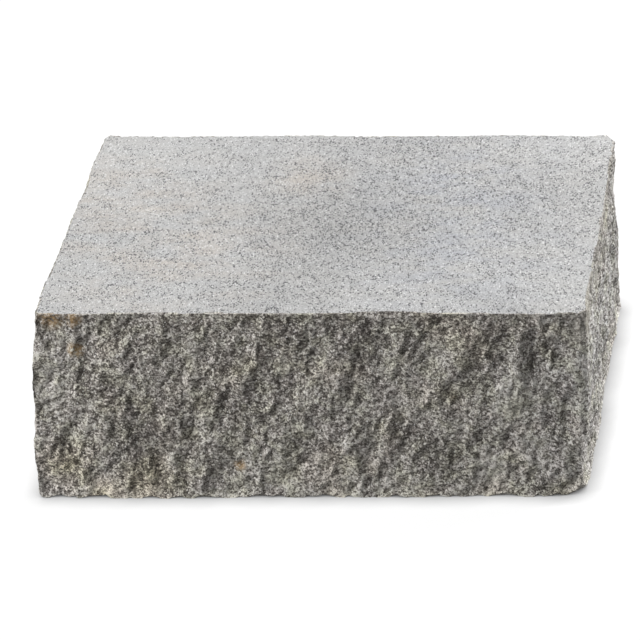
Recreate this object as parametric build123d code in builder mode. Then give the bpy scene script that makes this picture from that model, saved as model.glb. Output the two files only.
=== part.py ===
"""Garden wall block of grey speckled stone, with split faces between two flat beds.

The origin is under the middle of the block, on its bottom bed. +X runs along
the block and -Y is the face that shows in the wall.
"""
import os
from math import pi, sin

from build123d import *

# Gauge box, which the proudest point of each split face touches
LENGTH = 400
DEPTH = 250
HEIGHT = 150

# Inset of the top bed's corners from the gauge box, along X and along Y
TOP_FRONT_LEFT = (18, 10)
TOP_FRONT_RIGHT = (0, 8)
TOP_BACK_RIGHT = (0, 7)
TOP_BACK_LEFT = (20, 0)

# Inset of the bottom bed's corners, which gives the split faces their batter
BOTTOM_FRONT_LEFT = (0, 0)
BOTTOM_FRONT_RIGHT = (9, 7)
BOTTOM_BACK_RIGHT = (6, 0)
BOTTOM_BACK_LEFT = (4, 5)

# Broken arris at each upright corner, as its set-back along both faces
FRONT_LEFT_ARRIS = 2.5
FRONT_RIGHT_ARRIS = 6
BACK_RIGHT_ARRIS = 5
BACK_LEFT_ARRIS = 4

# Hewn facets: their width along the long and the short faces, and their height
LONG_FACET = 19
SHORT_FACET = 18
FACET_HEIGHT = 18.75

# Swell of the faces at half height, the depth of their waves, and the share of
# that depth that is left at the beds
SWELL = 1
FRONT_WAVE = 2.2
SIDE_WAVE = 2.2
BACK_WAVE = 2.6
CALM = 0.4

# Wave trains that cross on a split face: length, slant of the crests, share
WAVE_TRAINS = [(148, 0.5, 0.45), (83, -1.1, 0.30), (44, 0.7, 0.25)]

# Spalls along the arrises: distance from the arris's first corner, length, bite
TOP_FRONT_SPALLS = [(246, 66, 2.6)]
TOP_RIGHT_SPALLS = [(27, 54, 2.6), (158, 76, 1.5)]
TOP_BACK_SPALLS = [(118, 46, 1.8)]
TOP_LEFT_SPALLS = [(74, 40, 1.8)]
BOTTOM_FRONT_SPALLS = [(46, 24, 1.3)]
BOTTOM_RIGHT_SPALLS = [(118, 70, 1.6)]
BOTTOM_BACK_SPALLS = [(150, 70, 2.6), (300, 38, 2.0)]
BOTTOM_LEFT_SPALLS = [(96, 60, 2.4)]

# Chips off the corners of the beds, as the cut along X, Y and Z
TOP_FRONT_LEFT_CHIP = (4, 5, 4)
TOP_BACK_RIGHT_CHIP = (9, 13, 9)
BOTTOM_FRONT_LEFT_CHIP = (5, 5, 4)
BOTTOM_FRONT_RIGHT_CHIP = (15, 13, 14)
BOTTOM_BACK_LEFT_CHIP = (9, 7, 8)

FRONT_LEFT, FRONT_RIGHT, BACK_RIGHT, BACK_LEFT = range(4)
SIGNS = [(-1, -1), (1, -1), (1, 1), (-1, 1)]
TOP_INSETS = [TOP_FRONT_LEFT, TOP_FRONT_RIGHT, TOP_BACK_RIGHT, TOP_BACK_LEFT]
BOTTOM_INSETS = [BOTTOM_FRONT_LEFT, BOTTOM_FRONT_RIGHT, BOTTOM_BACK_RIGHT, BOTTOM_BACK_LEFT]
ARRISES = [FRONT_LEFT_ARRIS, FRONT_RIGHT_ARRIS, BACK_RIGHT_ARRIS, BACK_LEFT_ARRIS]
WAVES = [FRONT_WAVE, SIDE_WAVE, BACK_WAVE, SIDE_WAVE]


def mix(a, b, share):
    """Value at a share of the way from a to b."""
    return a + (b - a) * share


def crosswise(face):
    """Axis that a face's insets are measured along: Y on front and back, X on the sides."""
    return 1 if face % 2 == 0 else 0


def corner(index, rise):
    """Point of an upright corner line, before swell and waves, at a share of the height."""
    point = []
    for axis, size in enumerate((LENGTH, DEPTH)):
        inset = mix(BOTTOM_INSETS[index][axis], TOP_INSETS[index][axis], rise)
        point.append(SIGNS[index][axis] * (size / 2 - inset))
    return point


def facets(face):
    """Number of facets side by side on a face."""
    if crosswise(face) == 1:
        return round(LENGTH / LONG_FACET)
    return round(DEPTH / SHORT_FACET)


def stations(face):
    """Distances of the facets' edges along a face, from arris to arris."""
    full = (LENGTH, DEPTH)[1 - crosswise(face)]
    first = ARRISES[face]
    last = full - ARRISES[(face + 1) % 4]
    count = facets(face)
    return [mix(first, last, step / count) / full for step in range(count + 1)]


def hollow(face, along, rise):
    """Depth of a split face behind the line between its corners."""
    full = (LENGTH, DEPTH)[1 - crosswise(face)]
    run = along * full
    up = rise * HEIGHT
    wave = 0
    for train, (length, slant, share) in enumerate(WAVE_TRAINS):
        wave += share * sin(2 * pi * (run + slant * up) / length + 1.7 * face + 2.3 * train)
    middle = sin(pi * rise)
    return WAVES[face] * mix(CALM, 1, middle) * wave - SWELL * middle


def depth_behind_gauge(face, along, rise):
    """Distance of a point of a face from the plane of the gauge box."""
    axis = crosswise(face)
    size = (LENGTH, DEPTH)[axis]
    start = corner(face, rise)[axis]
    end = corner((face + 1) % 4, rise)[axis]
    return size / 2 - abs(mix(start, end, along)) + hollow(face, along, rise)


COURSES = round(HEIGHT / FACET_HEIGHT)
RISES = [step / COURSES for step in range(COURSES + 1)]
PROUD = [
    min(depth_behind_gauge(face, along, rise) for along in stations(face) for rise in RISES)
    for face in range(4)
]


def outline(rise):
    """Corners of the block's section at a share of the height, anticlockwise."""
    points = []
    for face in range(4):
        axis = crosswise(face)
        size = (LENGTH, DEPTH)[axis]
        side = SIGNS[face][axis] if face % 2 == 0 else SIGNS[(face + 1) % 4][axis]
        start = corner(face, rise)
        end = corner((face + 1) % 4, rise)
        for along in stations(face):
            point = [mix(start[0], end[0], along), mix(start[1], end[1], along)]
            behind = depth_behind_gauge(face, along, rise) - PROUD[face]
            point[axis] = side * (size / 2 - behind)
            points.append(tuple(point))
    return points


def bed_corner(index, rise):
    """Corner of a bed, as a point in space."""
    x, y = corner(index, rise)
    return Vector(x, y, rise * HEIGHT)


def spalls(start, end, rise, marks):
    """Scoop the shell-shaped spalls out of a bed's arris between two corners."""
    first = bed_corner(start, rise)
    run = (bed_corner(end, rise) - first).normalized()
    sideways = run.cross(Vector(0, 0, 1))
    upright = Vector(0, 0, 1 if rise > 0 else -1)
    outward = (sideways + upright).normalized()
    for distance, length, bite in marks:
        radius = (length**2 / 4 + bite**2) / (2 * bite)
        centre = first + run * distance + outward * (radius - bite)
        with Locations(centre):
            Sphere(radius, mode=Mode.SUBTRACT)


def chip(index, rise, cut):
    """Plane that takes a corner off a bed, facing outward."""
    tip = bed_corner(index, rise)
    inward = (-SIGNS[index][0], -SIGNS[index][1], -1 if rise > 0 else 1)
    outward = Vector(*(-sign / size for sign, size in zip(inward, cut)))
    foot = tip + Vector(inward[0] * cut[0], 0, 0)
    return Plane(origin=foot, z_dir=outward)


with BuildPart() as wall_block:
    for rise in RISES:
        with BuildSketch(Plane.XY.offset(rise * HEIGHT)):
            with BuildLine():
                Polyline(*outline(rise), close=True)
            make_face()
    loft(ruled=True)

    spalls(FRONT_LEFT, FRONT_RIGHT, 1, TOP_FRONT_SPALLS)
    spalls(FRONT_RIGHT, BACK_RIGHT, 1, TOP_RIGHT_SPALLS)
    spalls(BACK_RIGHT, BACK_LEFT, 1, TOP_BACK_SPALLS)
    spalls(BACK_LEFT, FRONT_LEFT, 1, TOP_LEFT_SPALLS)
    spalls(FRONT_LEFT, FRONT_RIGHT, 0, BOTTOM_FRONT_SPALLS)
    spalls(FRONT_RIGHT, BACK_RIGHT, 0, BOTTOM_RIGHT_SPALLS)
    spalls(BACK_RIGHT, BACK_LEFT, 0, BOTTOM_BACK_SPALLS)
    spalls(BACK_LEFT, FRONT_LEFT, 0, BOTTOM_LEFT_SPALLS)

    split(bisect_by=chip(FRONT_LEFT, 1, TOP_FRONT_LEFT_CHIP), keep=Keep.BOTTOM)
    split(bisect_by=chip(BACK_RIGHT, 1, TOP_BACK_RIGHT_CHIP), keep=Keep.BOTTOM)
    split(bisect_by=chip(FRONT_LEFT, 0, BOTTOM_FRONT_LEFT_CHIP), keep=Keep.BOTTOM)
    split(bisect_by=chip(FRONT_RIGHT, 0, BOTTOM_FRONT_RIGHT_CHIP), keep=Keep.BOTTOM)
    split(bisect_by=chip(BACK_LEFT, 0, BOTTOM_BACK_LEFT_CHIP), keep=Keep.BOTTOM)

wall_block.part.label = "wall_block"

os.makedirs("parts", exist_ok=True)
export_step(wall_block.part, "parts/wall_block.step")

box = wall_block.part.bounding_box()
print("size", box.size, "low corner", box.min, "high corner", box.max)
print("volume in litres", wall_block.part.volume / 1e6)
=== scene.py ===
"""A split-face garden wall block of grey speckled stone, on a white studio floor."""

from math import cos, radians, sin

import bpy
from mathutils import Matrix, Vector


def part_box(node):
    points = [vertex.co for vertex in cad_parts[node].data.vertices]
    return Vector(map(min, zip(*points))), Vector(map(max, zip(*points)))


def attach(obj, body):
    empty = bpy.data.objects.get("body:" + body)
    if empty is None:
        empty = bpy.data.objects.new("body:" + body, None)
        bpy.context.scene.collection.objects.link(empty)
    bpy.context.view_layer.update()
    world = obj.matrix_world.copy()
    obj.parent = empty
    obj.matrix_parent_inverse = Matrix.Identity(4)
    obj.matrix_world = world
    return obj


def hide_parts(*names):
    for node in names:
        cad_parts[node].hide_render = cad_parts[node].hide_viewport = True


MM = 0.001

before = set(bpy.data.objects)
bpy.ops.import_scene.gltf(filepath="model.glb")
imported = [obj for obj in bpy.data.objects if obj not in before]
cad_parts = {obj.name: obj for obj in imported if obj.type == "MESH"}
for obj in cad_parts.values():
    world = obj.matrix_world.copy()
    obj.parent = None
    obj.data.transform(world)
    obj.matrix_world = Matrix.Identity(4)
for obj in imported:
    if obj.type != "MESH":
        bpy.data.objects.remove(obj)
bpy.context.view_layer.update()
low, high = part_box("wall_block")


# Camera, where it stood for the photograph

CAMERA_AZIMUTH = radians(12.55)
CAMERA_ELEVATION = radians(32.83)
CAMERA_ROLL = radians(-7.05)
CAMERA_DISTANCE = 2721 * MM
CAMERA_RIGHT = -15.0 * MM
CAMERA_UP = 57.2 * MM
LENS = 211.6
SENSOR = 36


def place_camera():
    """Stand the camera off the block, turned to the photograph's azimuth, elevation and roll."""
    back = Vector((
        sin(CAMERA_AZIMUTH) * cos(CAMERA_ELEVATION),
        -cos(CAMERA_AZIMUTH) * cos(CAMERA_ELEVATION),
        sin(CAMERA_ELEVATION),
    ))
    level = Vector((0, 0, 1)).cross(back).normalized()
    upright = back.cross(level)
    right = level * cos(CAMERA_ROLL) + upright * sin(CAMERA_ROLL)
    up = upright * cos(CAMERA_ROLL) - level * sin(CAMERA_ROLL)
    spot = right * CAMERA_RIGHT + up * CAMERA_UP + back * CAMERA_DISTANCE
    lens = bpy.data.cameras.new("camera")
    lens.lens = LENS
    lens.sensor_width = SENSOR
    camera = bpy.data.objects.new("camera", lens)
    camera.matrix_world = Matrix.Translation(spot) @ Matrix((right, up, back)).transposed().to_4x4()
    bpy.context.scene.collection.objects.link(camera)
    bpy.context.scene.camera = camera


# Finishes

# Middle of the range that a cloudy or a chance level covers
MIDDLE = 0.5


class Channel:
    """A value that varies over a surface, with the sums that can be done on it."""

    def __init__(self, finish, socket):
        self.finish = finish
        self.socket = socket

    def sum(self, operation, first, second):
        """One sum on two channels, or on a channel and a number."""
        sockets = {0: first, 1: second}
        return self.finish.node("ShaderNodeMath", {"operation": operation}, sockets)["Value"]

    def __add__(self, other):
        return self.sum("ADD", self, other)

    __radd__ = __add__

    def __sub__(self, other):
        return self.sum("SUBTRACT", self, other)

    def __rsub__(self, other):
        return self.sum("SUBTRACT", other, self)

    def __mul__(self, other):
        return self.sum("MULTIPLY", self, other)

    __rmul__ = __mul__

    def __gt__(self, other):
        return self.sum("GREATER_THAN", self, other)


class Finish:
    """A surface of stone or paper, or the studio's sky, built from nodes."""

    def __init__(self, tree, shader):
        self.tree = tree
        self.shader = tree.nodes[shader]

    def node(self, kind, settings, sockets):
        """Add a node, with its settings first and then its sockets' values and links."""
        node = self.tree.nodes.new(kind)
        for name, value in settings.items():
            if name == "stops":
                self.set_stops(node.color_ramp, value)
            else:
                setattr(node, name, value)
        for key, value in sockets.items():
            self.feed(node.inputs[key], value)
        return {output.name: Channel(self, output) for output in node.outputs if output.enabled}

    def feed(self, socket, value):
        """Link a channel to a socket, or set the socket to a value."""
        if isinstance(value, Channel):
            self.tree.links.new(value.socket, socket)
        elif isinstance(value, tuple) and socket.type == "RGBA":
            socket.default_value = (*value, 1)
        else:
            socket.default_value = value

    def give(self, **sockets):
        """Feed the shader's own sockets, named with underscores for their spaces."""
        for name, value in sockets.items():
            self.feed(self.shader.inputs[name.replace("_", " ")], value)

    @staticmethod
    def set_stops(ramp, stops):
        """Give a colour ramp its stops, each a place and a grey level."""
        while len(ramp.elements) < len(stops):
            ramp.elements.new(1)
        for element, (place, level) in zip(ramp.elements, stops):
            element.position = place
            element.color = (level, level, level, 1)

    def place(self):
        """The point on the surface, in metres."""
        return self.node("ShaderNodeTexCoord", {}, {})["Object"]

    def ramp(self, level, stops):
        """Grey level read from a list of stops."""
        return self.node("ShaderNodeValToRGB", {"stops": stops}, {"Fac": level})["Color"]

    def blend(self, share, first, second):
        """Colour that goes from the first to the second as the share goes from 0 to 1."""
        # Sockets 0, 6 and 7 are the factor and the two colours
        sockets = {0: share, 6: first, 7: second}
        return self.node("ShaderNodeMix", {"data_type": "RGBA"}, sockets)["Result"]

    def tinted(self, colour, share, tint):
        """The colour, multiplied by a tint as far as the share says."""
        return self.blend(share, colour, self.vector("MULTIPLY", {0: colour, 1: tint}))

    def slope(self, level, start, end, before, after):
        """Level that goes from one value to another between a start and an end, and stays there."""
        sockets = {"Value": level, "From Min": start, "From Max": end, "To Min": before, "To Max": after}
        return self.node("ShaderNodeMapRange", {}, sockets)["Result"]

    def vector(self, operation, sockets):
        """One sum on colours or vectors."""
        found = self.node("ShaderNodeVectorMath", {"operation": operation}, sockets)
        return found["Value" if operation == "DISTANCE" else "Vector"]

    def clouds(self, place, size, detail=2, roughness=0.5):
        """Cloudy grey level of that size, from about 0.3 to 0.7."""
        sockets = {"Vector": place, "Scale": 1 / size, "Detail": detail, "Roughness": roughness}
        return self.node("ShaderNodeTexNoise", {}, sockets)["Fac"]

    def ragged_clouds(self, place, size, roughness=0.6):
        """Clouds with finer and rougher edges."""
        return self.clouds(place, size, detail=3, roughness=roughness)

    def leaning(self, place, lean, stretch):
        """The place, turned and drawn out so that a pattern lies along the break of the stone."""
        sockets = {"Vector": place, "Rotation": (0, lean, 0)}
        turned = self.node("ShaderNodeMapping", {"vector_type": "TEXTURE"}, sockets)["Vector"]
        return self.vector("MULTIPLY", {0: turned, 1: (1, 1, 1 / stretch)})

    def jostled(self, place, size, reach):
        """The place pushed about, so that grains aren't straight-sided."""
        sockets = {"Vector": place, "Scale": 1 / size, "Detail": 2}
        push = self.node("ShaderNodeTexNoise", {}, sockets)["Color"]
        centred = self.vector("SUBTRACT", {0: push, 1: (MIDDLE, MIDDLE, MIDDLE)})
        return self.vector("ADD", {0: place, 1: self.vector("SCALE", {0: centred, "Scale": reach})})

    def grains(self, place, size):
        """Two chance levels from 0 to 1 for each crystal of that size."""
        sockets = {"Vector": place, "Scale": 1 / size}
        chance = self.node("ShaderNodeTexVoronoi", {}, sockets)["Color"]
        parts = self.node("ShaderNodeSeparateColor", {}, {"Color": chance})
        return parts["Red"], parts["Green"]

    def patches(self, place, marks):
        """Level that is 1 in the middle of each mark and fades to 0 at its reach."""
        level = 0
        for x, y, z, reach in marks:
            centre = (x * MM, y * MM, z * MM)
            away = self.vector("DISTANCE", {0: place, 1: centre})
            level = level + self.slope(away, 0, reach * MM, 1, 0)
        return level

    def foot(self, place, height):
        """Level that is 1 at the foot of the block and fades to 0 at that height."""
        up = self.node("ShaderNodeSeparateXYZ", {}, {"Vector": place})["Z"]
        return self.slope(up, 0, height, 1, 0)

    def bumps(self, height, depth, normal=None):
        """Surface normal bent by a height from 0 to 1, which stands for that depth."""
        sockets = {"Height": height, "Strength": 1, "Distance": depth}
        if normal:
            sockets["Normal"] = normal
        return self.node("ShaderNodeBump", {}, sockets)["Normal"]


def new_stone(name):
    """An empty stone finish, and its material."""
    material = bpy.data.materials.new(name)
    material.use_nodes = True
    return Finish(material.node_tree, "Principled BSDF"), material


def swing(level, share):
    """How a level rises and falls about its middle, to that share."""
    return (level - MIDDLE) * share


# Split faces: colours of the grains, of their painted glints, rust and painted shade on the spalls, and
# tints that multiply them
DARK_MICA = (0.062, 0.054, 0.047)
SMOKY_QUARTZ = (0.192, 0.176, 0.157)
GREY_FELDSPAR = (0.382, 0.359, 0.323)
PALE_FELDSPAR = (0.785, 0.760, 0.702)
PAINTED_GLINT = (0.950, 0.950, 0.930)
RUST = (0.420, 0.270, 0.120)
PAINTED_SPALL_SHADE = (0.320, 0.300, 0.260)
BUFF_TINT = (1.24, 1.18, 1.04)
COOL_TINT = (0.97, 1.00, 1.06)
OLIVE_TINT = (0.995, 1.005, 0.94)
MAUVE_TINT = (1.01, 0.99, 1.015)

# Stains on the split faces, where their grains are darker and paler, and the spalls with painted shade,
# in mm:
# x, y, z and reach
RUST_MARKS = [
    (-171, -117, 145, 11), (-154, -117, 146, 8), (-156, -117, 121, 8), (-51, -120, 26, 6),
    (105, -120, 81, 5),
]
BUFF_MARKS = [(-151, -122, 6, 16), (-51, -122, 25, 6), (-176, -120, 28, 26), (-120, -122, 10, 30)]
COOL_MARKS = [(200, -50, 75, 110), (200, 90, 75, 110)]
DARK_MARKS = [
    (-119, -122, 78, 32), (-119, -122, 48, 30), (-148, -122, 82, 28), (-90, -122, 78, 20),
    (-60, -122, 118, 22), (-54, -122, 73, 26), (0, -122, 88, 26), (52, -122, 130, 40),
    (142, -120, 128, 32), (90, -120, 30, 26), (150, -118, 8, 26), (-120, -122, 16, 22),
    (-10, -122, 140, 22), (199, -12, 144, 36), (199, 62, 144, 36), (197, 118, 90, 42),
    (197, 110, 45, 46), (197, 25, 20, 36),
]
PALE_MARKS = [
    (-148, -122, 138, 20), (-30, -122, 18, 24), (60, -122, 76, 26), (120, -120, 22, 24),
    (142, -122, 78, 32), (150, -122, 38, 24), (-190, -122, 90, 26), (196, -119, 105, 20),
    (194, -119, 75, 20), (192, -119, 45, 20),
]
PAINTED_SPALL_SHADE_MARKS = [
    (199, -106, 140, 20), (199, -88, 143, 18), (199, -64, 145, 14), (199, -40, 120, 22),
    (199, -22, 142, 18), (199, 20, 142, 18), (199, 62, 144, 20),
]

# Sizes of the grains, how they are jostled, sizes of their clusters and of the shades over
# them, and height of the painted bounce light at the foot
COARSE_GRAIN = 1.4 * MM
FINE_GRAIN = 0.75 * MM
JOSTLE_SIZE = 1.1 * MM
JOSTLE_REACH = 0.9 * MM
CLUSTER_SIZE = 4.5 * MM
MOTTLE_SIZE = 11 * MM
BROAD_SIZE = 55 * MM
PAINTED_FOOT_LIGHT_HEIGHT = 50 * MM

# The break's lean, and how far the mottling is drawn out along it
BREAK_LEAN = radians(14)
BREAK_STRETCH = 2.2

# What each of them counts for in the lot that decides a grain's mineral; the ridge share is painted light
# and shade, the foot share painted bounce light
COARSE_SHARE = 0.55
FINE_SHARE = 0.45
CLUSTER_SHARE = 0.45
MOTTLE_SHARE = 0.45
BROAD_SHARE = 0.4
PAINTED_RIDGE_SHADING_SHARE = 1.5
PAINTED_FOOT_LIGHT_SHARE = 0.08
TONE_SHARE = 0.15

# Levels beyond which the painted shade of a dip or the painted light of a ridge counts for no more
PAINTED_RIDGE_SHADING_STOPS = [(0.40, 0.40), (0.56, 0.56)]

# Lots at which each mineral turns into the next, and the few grains given a painted glint
QUARTZ_STOPS = [(0.24, 0), (0.34, 1)]
GREY_STOPS = [(0.40, 0), (0.50, 1)]
PALE_STOPS = [(0.60, 0), (0.72, 1)]
PAINTED_GLINT_FROM = 0.988
PAINTED_GLINT_SHARE = 0.8

# Buff, olive, mauve, painted spall shade and rust: sizes of their clouds, and how their levels are read
BUFF_SIZE = 32 * MM
BUFF_STOPS = [(0.5, 0), (0.7, 0.4)]
HUE_SIZE = 14 * MM
OLIVE_STOPS = [(0.50, 0), (0.64, 1)]
MAUVE_STOPS = [(0.36, 1), (0.50, 0)]
PAINTED_SPALL_SHADE_STOPS = [(0, 0), (0.7, 0.6)]
RUST_SIZE = 3 * MM
RUST_STOPS = [(0.35, 0), (0.5, 1)]

# Fine relief of the split faces, and their gloss, which is less on the pale grains
RELIEF_SIZE = 3.5 * MM
RELIEF_DEPTH = 1.4 * MM
GRAIN_DEPTH = 0.25 * MM
SPLIT_ROUGHNESS = 0.7
PALE_ROUGHNESS = 0.2
SPLIT_SPECULAR = 0.35


def mineral_lot(stone, here, coarse, fine):
    """Level that decides which mineral a grain is, from dark mica up to pale feldspar, with painted light
    on ridges, painted shade in hollows and painted bounce light at the foot.
    """
    cluster = stone.ragged_clouds(here, CLUSTER_SIZE)
    mottle = stone.ragged_clouds(stone.leaning(here, BREAK_LEAN, BREAK_STRETCH), MOTTLE_SIZE)
    broad = stone.clouds(here, BROAD_SIZE)
    # Grains are lighter on ridges and darker in hollows: painted light and painted shade
    painted_ridge_shading = stone.ramp(stone.node("ShaderNodeNewGeometry", {}, {})["Pointiness"], PAINTED_RIDGE_SHADING_STOPS)
    tone = stone.patches(here, PALE_MARKS) - stone.patches(here, DARK_MARKS)
    lot = coarse * COARSE_SHARE + fine * FINE_SHARE
    lot = lot + swing(cluster, CLUSTER_SHARE) + swing(mottle, MOTTLE_SHARE)
    lot = lot + swing(broad, BROAD_SHARE) + swing(painted_ridge_shading, PAINTED_RIDGE_SHADING_SHARE)
    # Grains are lighter towards the foot: painted bounce light from the floor
    return lot + stone.foot(here, PAINTED_FOOT_LIGHT_HEIGHT) * PAINTED_FOOT_LIGHT_SHARE + tone * TONE_SHARE


def stained(stone, here, colour):
    """The grains' colour with its tints, painted shade on the spalls and rust spots."""
    buff = stone.ramp(stone.clouds(here, BUFF_SIZE), BUFF_STOPS) + stone.patches(here, BUFF_MARKS)
    colour = stone.tinted(colour, buff, BUFF_TINT)
    colour = stone.tinted(colour, stone.patches(here, COOL_MARKS), COOL_TINT)
    hue = stone.ragged_clouds(here, HUE_SIZE)
    colour = stone.tinted(colour, stone.ramp(hue, OLIVE_STOPS), OLIVE_TINT)
    colour = stone.tinted(colour, stone.ramp(hue, MAUVE_STOPS), MAUVE_TINT)
    # The spall faces along the right top arris take a flat darker colour: painted shade
    painted_spall_shade = stone.ramp(stone.patches(here, PAINTED_SPALL_SHADE_MARKS), PAINTED_SPALL_SHADE_STOPS)
    colour = stone.blend(painted_spall_shade, colour, PAINTED_SPALL_SHADE)
    rust = stone.patches(here, RUST_MARKS) * stone.ramp(stone.clouds(here, RUST_SIZE), RUST_STOPS)
    return stone.blend(rust, colour, RUST)


def split_stone():
    """Rough broken stone: interlocked grains of dark mica, quartz and feldspar."""
    stone, material = new_stone("split_stone")
    here = stone.place()
    jostled = stone.jostled(here, JOSTLE_SIZE, JOSTLE_REACH)
    coarse, coarse_shade = stone.grains(jostled, COARSE_GRAIN)
    fine, fine_shade = stone.grains(jostled, FINE_GRAIN)
    lot = mineral_lot(stone, here, coarse, fine)
    colour = stone.blend(stone.ramp(lot, QUARTZ_STOPS), DARK_MICA, SMOKY_QUARTZ)
    colour = stone.blend(stone.ramp(lot, GREY_STOPS), colour, GREY_FELDSPAR)
    colour = stone.blend(stone.ramp(lot, PALE_STOPS), colour, PALE_FELDSPAR)
    # A few grains turn near-white: painted glints
    colour = stone.blend((fine_shade > PAINTED_GLINT_FROM) * PAINTED_GLINT_SHARE, colour, PAINTED_GLINT)
    colour = stained(stone, here, colour)
    normal = stone.bumps(stone.ragged_clouds(here, RELIEF_SIZE), RELIEF_DEPTH)
    normal = stone.bumps(coarse_shade, GRAIN_DEPTH, normal)
    roughness = SPLIT_ROUGHNESS + PALE_ROUGHNESS * lot
    stone.give(Base_Color=colour, Roughness=roughness, Specular_IOR_Level=SPLIT_SPECULAR, Normal=normal)
    return material


# Flat beds: their colours
SAWN_GREY = (0.560, 0.558, 0.552)
SAWN_DARK = (0.130, 0.130, 0.136)
SAWN_PALE = (0.840, 0.840, 0.840)
SAWN_WARM = (0.600, 0.550, 0.500)
SAWN_BLUE = (0.480, 0.495, 0.540)

# Darker, lighter, warm and blue shades of the beds, in mm: x, y, z and reach
SHADE_MARKS = [
    (20, 25, 150, 110), (20, -10, 150, 85), (50, 125, 150, 75), (150, 20, 150, 110),
    (-15, -95, 150, 60), (20, 0, 0, 120),
]
LIGHT_MARKS = [(-165, 95, 150, 100)]
WARM_MARKS = [(-149, 30, 150, 90), (-90, -50, 150, 100), (-20, 60, 150, 45), (-60, 20, 0, 120)]
BLUE_MARKS = [(90, 60, 150, 90), (105, -40, 150, 100), (60, 0, 0, 120)]

# Flecks: their size, how they are squeezed along and across the block, how far they are
# jostled, the patches where they gather, and the lots that make a grain dark or pale
FLECK_SIZE = 0.95 * MM
FLECK_SQUEEZE = (1.25, 0.85, 1)
FLECK_JOSTLE_SIZE = 0.8 * MM
FLECK_JOSTLE_REACH = 0.35 * MM
FLECK_PATCH_SIZE = 9 * MM
FLECK_PATCH_SHARE = 0.6
FLECK_SHADE_SHARE = 0.06
FLECK_STOPS = [(0.82, 0), (0.92, 1)]
FLECK_DARKNESS = 0.95
PALE_FLECK_STOPS = [(0.06, 1), (0.12, 0)]
PALE_FLECK_SHARE = 0.7

# Warm and blue clouds: their sizes, how they are drawn out along the block, and how strong
# they are everywhere and at their marks
WARM_SIZE = 26 * MM
WARM_EDGE = 0.55
BLUE_SIZE = 20 * MM
CLOUD_SQUEEZE = (0.6, 1.4, 1)
CLOUD_STOPS = [(0.38, 0), (0.62, 1)]
CLOUD_SHARE = 0.1
WARM_MARK_SHARE = 0.7
BLUE_MARK_SHARE = 0.6

# Fine speckle over all, its shade, the depth of its pits, and the gloss of the beds
SPECKLE_SIZE = 0.7 * MM
SPECKLE_EDGE = 0.7
BED_LEVEL = 0.21
SPECKLE_CONTRAST = 1.66
SHADE_DARKNESS = 0.11
PIT_DEPTH = 0.4 * MM
BED_ROUGHNESS = 0.9
FLECK_GLOSS = 0.15
BED_SPECULAR = 0.3


def sawn_stone():
    """Flat bed: pale fine-grained stone with dark flecks, pits and faint broad shades."""
    stone, material = new_stone("sawn_stone")
    here = stone.place()
    squeezed = stone.vector("MULTIPLY", {0: here, 1: FLECK_SQUEEZE})
    jostled = stone.jostled(squeezed, FLECK_JOSTLE_SIZE, FLECK_JOSTLE_REACH)
    grain = stone.grains(jostled, FLECK_SIZE)[0]
    speckle = stone.ragged_clouds(here, SPECKLE_SIZE, SPECKLE_EDGE)
    patch = stone.ragged_clouds(here, FLECK_PATCH_SIZE)
    drawn = stone.vector("MULTIPLY", {0: here, 1: CLOUD_SQUEEZE})
    warm = stone.ramp(stone.ragged_clouds(drawn, WARM_SIZE, WARM_EDGE), CLOUD_STOPS)
    warm = warm * (CLOUD_SHARE + stone.patches(here, WARM_MARKS) * WARM_MARK_SHARE)
    blue = stone.ramp(stone.ragged_clouds(drawn, BLUE_SIZE), CLOUD_STOPS)
    blue = blue * (CLOUD_SHARE + stone.patches(here, BLUE_MARKS) * BLUE_MARK_SHARE)
    colour = stone.blend(warm, SAWN_GREY, SAWN_WARM)
    colour = stone.blend(blue, colour, SAWN_BLUE)
    shade = stone.patches(here, SHADE_MARKS) - stone.patches(here, LIGHT_MARKS)
    lot = grain + swing(patch, FLECK_PATCH_SHARE) + shade * FLECK_SHADE_SHARE
    fleck = stone.ramp(lot, FLECK_STOPS)
    colour = stone.blend(fleck * FLECK_DARKNESS, colour, SAWN_DARK)
    colour = stone.blend(stone.ramp(grain, PALE_FLECK_STOPS) * PALE_FLECK_SHARE, colour, SAWN_PALE)
    level = BED_LEVEL + SPECKLE_CONTRAST * speckle - SHADE_DARKNESS * shade
    colour = stone.vector("SCALE", {0: colour, "Scale": level})
    normal = stone.bumps(speckle - fleck, PIT_DEPTH)
    roughness = BED_ROUGHNESS - FLECK_GLOSS * fleck
    stone.give(Base_Color=colour, Roughness=roughness, Specular_IOR_Level=BED_SPECULAR, Normal=normal)
    return material


# The block

# Facets of the skin. At some sizes close to this one they pinch, and the skin isn't closed.
FACET = 1.52 * MM
OCTREE_DEPTH = 9
MERGE_REACH = 0.001 * MM

# Wear of the upright arrises and of the bottom corners that have lost a chip: rounds of
# smoothing, how far each round goes, and where
WEAR = 8
CORNER_WEAR = 40
SMOOTHING = 0.5
WORN_CORNERS = [(-1, -1, -1), (1, -1, -1), (-1, 1, -1)]
CORNER_REACH = 30 * MM

# How squarely a point faces along an axis to count as part of a side or of a bed
SIDE_FACING = 0.8
BED_FACING = 0.9

# Rounds that fade a side's relief out toward its arrises, and the share that is left there
FADE_STEPS = 25
ARRIS_SHARE = 0.12

# Grains plucked off all but the beds, and the level of them that stays in place
PLUCK_SIZE = 3.4 * MM
PLUCK_DEPTH = 1.2 * MM
PLUCK_STILL = 0.8

# Nicks along the arris of the bottom bed
NICK_SIZE = 12 * MM
NICK_HEIGHT = 5 * MM
NICK_FADE = 4
NICK_GAIN = 2
NICK_CONTRAST = 3
NICK_BRIGHTNESS = 0.6

# How level a face is to belong to a bed, and the sharpest angle that is shaded smooth
BED_TOLERANCE = 0.05 * MM
SMOOTH_ANGLE = radians(35)

# The four split sides: name, axis that the side faces along, its sign, lean of the break
SIDES = [
    ("front", 1, -1, radians(14)),
    ("right", 0, 1, radians(14)),
    ("back", 1, 1, radians(-28)),
    ("left", 0, -1, radians(-24)),
]

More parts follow.
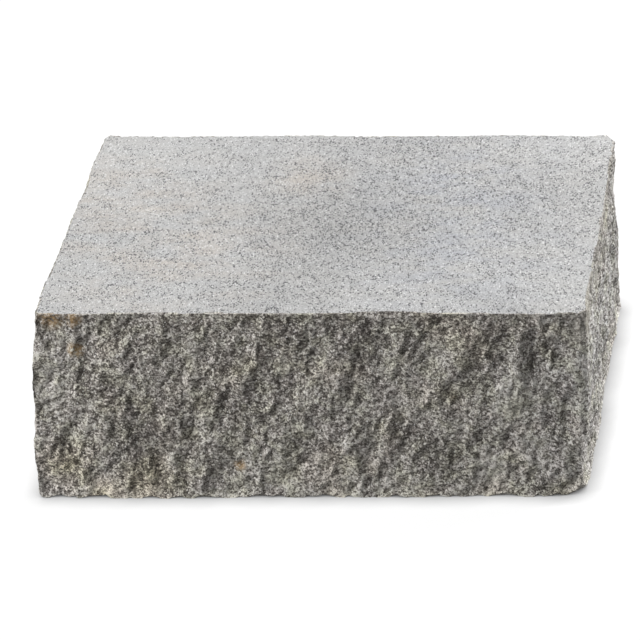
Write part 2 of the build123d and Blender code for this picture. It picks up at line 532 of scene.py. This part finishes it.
# What broke off the sides: kind of hollow, its size, how much taller than wide, its
# depth, and the level of it that stays in place
HOLLOWS = [
    ("bays", 40 * MM, 1.7, -6.2 * MM, 0.15),
    ("shells", 15 * MM, 1.9, -4.0 * MM, 0.15),
    ("flakes", 7 * MM, 1.5, 2.0 * MM, 0.7),
    ("chips", 3.6 * MM, 1.3, 1.0 * MM, 0.7),
]


def only(piece):
    """Make one piece the only thing selected, and active."""
    bpy.ops.object.select_all(action="DESELECT")
    piece.select_set(True)
    bpy.context.view_layer.objects.active = piece


def apply(piece, kind, **settings):
    """Add a modifier with its settings and apply it to the mesh."""
    modifier = piece.modifiers.new(kind.lower(), kind)
    for name, value in settings.items():
        setattr(modifier, name, value)
    only(piece)
    bpy.ops.object.modifier_apply(modifier=modifier.name)


def pick(piece, kind, wanted):
    """Select the faces or the points of a piece that are wanted, and go into edit mode."""
    only(piece)
    bpy.ops.object.mode_set(mode="EDIT")
    bpy.ops.mesh.select_mode(type=kind)
    bpy.ops.mesh.select_all(action="DESELECT")
    bpy.ops.object.mode_set(mode="OBJECT")
    for part in piece.data.polygons if kind == "FACE" else piece.data.vertices:
        part.select = wanted(part)
    bpy.ops.object.mode_set(mode="EDIT")


def group_points(piece, name, belongs):
    """A new group of the points that belong to it."""
    group = piece.vertex_groups.new(name=name)
    group.add([point.index for point in piece.data.vertices if belongs(point)], 1, "REPLACE")
    return group


def fade_group(piece, group, steps, offset, gain):
    """Fade a group out across its edge, then add an offset to its weights and scale them."""
    piece.vertex_groups.active = group
    only(piece)
    bpy.ops.object.mode_set(mode="EDIT")
    bpy.ops.mesh.select_all(action="SELECT")
    bpy.ops.object.vertex_group_smooth(group_select_mode="ACTIVE", factor=SMOOTHING, repeat=steps)
    bpy.ops.object.vertex_group_levels(group_select_mode="ACTIVE", offset=offset, gain=gain)
    bpy.ops.object.mode_set(mode="OBJECT")


def stone_skin(node, name):
    """The CAD block's skin as a new piece, in small even facets, with worn upright arrises."""
    piece = bpy.data.objects.new(name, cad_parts[node].data.copy())
    bpy.context.scene.collection.objects.link(piece)
    piece.data.materials.clear()
    only(piece)
    bpy.ops.object.mode_set(mode="EDIT")
    bpy.ops.mesh.select_all(action="SELECT")
    bpy.ops.mesh.remove_doubles(threshold=MERGE_REACH)
    bpy.ops.object.mode_set(mode="OBJECT")
    share = (high[0] - low[0]) / (FACET * 2 ** OCTREE_DEPTH)
    apply(piece, "REMESH", mode="SHARP", octree_depth=OCTREE_DEPTH, scale=share)
    apply(piece, "SMOOTH", factor=SMOOTHING, iterations=WEAR, use_z=False)
    return piece


def wear_corners(piece):
    """Round off the corners of the bottom bed that have lost a chip."""
    tips = [
        Vector([high[axis] if sign > 0 else low[axis] for axis, sign in enumerate(signs)])
        for signs in WORN_CORNERS
    ]
    group_points(piece, "worn", lambda point: any((point.co - tip).length < CORNER_REACH for tip in tips))
    apply(piece, "SMOOTH", vertex_group="worn", factor=SMOOTHING, iterations=CORNER_WEAR)


def mark_side(piece, side, axis, sign):
    """Group the points that face out of a side, fading out round its arrises."""
    group = group_points(piece, side, lambda point: point.normal[axis] * sign > SIDE_FACING)
    # A point on the arris has faded to a half, which this turns into the arris's share
    gain = 2 * (1 - ARRIS_SHARE)
    fade_group(piece, group, FADE_STEPS, 1 / gain - 1, gain)


def hollow_texture(kind, size):
    """Shell-shaped hollows with sharp ridges between them, or smaller flakes and grains."""
    if kind in ("bays", "shells"):
        texture = bpy.data.textures.new(kind, "CLOUDS")
        texture.noise_type = "HARD_NOISE"
        texture.noise_depth = 2
    else:
        texture = bpy.data.textures.new(kind, "VORONOI")
    texture.noise_scale = size
    return texture


def break_side(piece, side, axis, sign, lean):
    """Work the hollows into one side, drawn out along the lean of its break."""
    for kind, size, taller, depth, still in HOLLOWS:
        guide = bpy.data.objects.new(side + "_guide", None)
        guide.rotation_euler[axis] = lean
        guide.scale.z = taller
        bpy.context.scene.collection.objects.link(guide)
        apply(
            piece, "DISPLACE", texture=hollow_texture(kind, size), texture_coords="OBJECT",
            texture_coords_object=guide, direction="XYZ"[axis], vertex_group=side,
            strength=depth * sign, mid_level=still,
        )
        bpy.data.objects.remove(guide)


def pluck_skin(piece):
    """Pluck small grains out of all but the beds, which leaves the arrises ragged."""
    group_points(piece, "plucked", lambda point: abs(point.normal.z) < BED_FACING)
    apply(
        piece, "DISPLACE", texture=hollow_texture("grains", PLUCK_SIZE), vertex_group="plucked",
        strength=PLUCK_DEPTH, mid_level=PLUCK_STILL,
    )


def nick_foot(piece):
    """Lift the arris of the bottom bed here and there, where it has lost small chips."""
    floor_line = low[2] + FACET / 2
    group = group_points(
        piece, "foot", lambda point: point.co.z < floor_line and point.normal.z > -BED_FACING,
    )
    fade_group(piece, group, NICK_FADE, 0, NICK_GAIN)
    texture = bpy.data.textures.new("nicks", "CLOUDS")
    texture.noise_scale = NICK_SIZE
    texture.contrast = NICK_CONTRAST
    texture.intensity = NICK_BRIGHTNESS
    apply(
        piece, "DISPLACE", texture=texture, direction="Z", vertex_group="foot",
        strength=NICK_HEIGHT, mid_level=0,
    )


def rub_to_gauge(piece):
    """Rub down the few points of the relief that stand out of the gauge box."""
    for vertex in piece.data.vertices:
        for axis in range(3):
            vertex.co[axis] = max(low[axis], min(high[axis], vertex.co[axis]))


def flatten_bed(piece, height):
    """Make the bed at that height one flat face, with the sawn finish."""

    def in_bed(face):
        points = piece.data.vertices
        return all(abs(points[corner].co.z - height) < BED_TOLERANCE for corner in face.vertices)

    piece.active_material_index = 1
    pick(piece, "FACE", in_bed)
    bpy.ops.mesh.delete(type="FACE")
    bpy.ops.mesh.select_mode(type="EDGE")
    bpy.ops.mesh.select_non_manifold()
    bpy.ops.mesh.edge_face_add()
    bpy.ops.object.material_slot_assign()
    bpy.ops.mesh.select_all(action="SELECT")
    bpy.ops.mesh.normals_make_consistent(inside=False)
    bpy.ops.object.mode_set(mode="OBJECT")


def drop_rim_points(piece):
    """Take out the points on the beds' rims that only two edges meet in."""
    uses = [0] * len(piece.data.vertices)
    for edge in piece.data.edges:
        for end in edge.vertices:
            uses[end] += 1
    pick(piece, "VERT", lambda point: uses[point.index] == 2)
    bpy.ops.mesh.dissolve_verts()
    bpy.ops.object.mode_set(mode="OBJECT")


def wall_block():
    """The block: its skin, the broken relief of its four sides and its two flat beds."""
    piece = stone_skin("wall_block", "stone_block")
    wear_corners(piece)
    for side, axis, sign, lean in SIDES:
        mark_side(piece, side, axis, sign)
    for side, axis, sign, lean in SIDES:
        break_side(piece, side, axis, sign, lean)
    pluck_skin(piece)
    nick_foot(piece)
    piece.vertex_groups.clear()
    rub_to_gauge(piece)
    piece.data.materials.append(split_stone())
    piece.data.materials.append(sawn_stone())
    flatten_bed(piece, low[2])
    flatten_bed(piece, high[2])
    drop_rim_points(piece)
    only(piece)
    bpy.ops.object.shade_smooth_by_angle(angle=SMOOTH_ANGLE)
    return piece


# Studio

SKY_LEVEL = 0.24
FLOOR_SIZE = 16
FLOOR_GAP = 0.05 * MM
FLOOR_GREY = (0.14, 0.14, 0.14)
CONTACT_SHADE = 16 * MM

# The floor's own light: its share under the block, and where it starts to rise and is full
FLOOR_LIFT = 0.92
LIFT_START = 0.5
LIFT_END = 1.5

# Lamps: name, size, strength, spot and aim
LAMPS = [
    ("left_lamp", 0.4, 29.5, (-1.5, -0.9, 1.0), (0, 0, 0.1)),
    ("right_lamp", 0.7, 36, (1.45, 0.75, 1.0), (0, 0, 0.05)),
]


def lamp(name, size, strength, spot, aim):
    """A square soft lamp at a spot, turned to its aim."""
    light = bpy.data.lights.new(name, "AREA")
    light.shape = "SQUARE"
    light.size = size
    light.energy = strength
    holder = bpy.data.objects.new(name, light)
    holder.location = spot
    holder.rotation_mode = "QUATERNION"
    holder.rotation_quaternion = (Vector(aim) - Vector(spot)).to_track_quat("-Z", "Y")
    bpy.context.scene.collection.objects.link(holder)


def seen(finish):
    """1 where the camera sees a surface itself, in a reflection or through glass."""
    path = finish.node("ShaderNodeLightPath", {}, {})
    return path["Is Camera Ray"] + path["Is Glossy Ray"] + path["Is Transmission Ray"]


def white_floor():
    """White paper under the block, which keeps its shadow, gets a painted contact shadow and is white
    further off.
    """
    bpy.ops.object.select_all(action="DESELECT")
    bpy.ops.mesh.primitive_plane_add(size=FLOOR_SIZE, location=(0, 0, low[2] - FLOOR_GAP))
    floor = bpy.context.object
    floor.name = "floor"
    material = bpy.data.materials.new("white_paper")
    material.use_nodes = True
    paper = Finish(material.node_tree, "Principled BSDF")
    away = paper.vector("DISTANCE", {0: paper.place(), 1: (0, 0, 0)})
    lift = paper.slope(away, LIFT_START, LIFT_END, FLOOR_LIFT, 1)
    # Ambient occlusion dims the floor's glow by the block's foot: a painted contact shadow
    painted_contact_shadow = paper.node("ShaderNodeAmbientOcclusion", {}, {"Distance": CONTACT_SHADE})["AO"]
    paper.give(Base_Color=FLOOR_GREY, Roughness=1, Specular_IOR_Level=0)
    paper.give(Emission_Color=seen(paper) * lift * painted_contact_shadow, Emission_Strength=1)
    floor.data.materials.append(material)


def white_sky():
    """Even light from all round, which shows as white."""
    world = bpy.data.worlds.new("studio")
    world.use_nodes = True
    bpy.context.scene.world = world
    sky = Finish(world.node_tree, "Background")
    sky.give(Color=(1, 1, 1), Strength=SKY_LEVEL + (1 - SKY_LEVEL) * seen(sky))


block = wall_block()
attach(block, "root")
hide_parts("wall_block")

place_camera()
white_floor()
white_sky()
for name, size, strength, spot, aim in LAMPS:
    lamp(name, size, strength, spot, aim)
bpy.context.scene.view_settings.view_transform = "Standard"
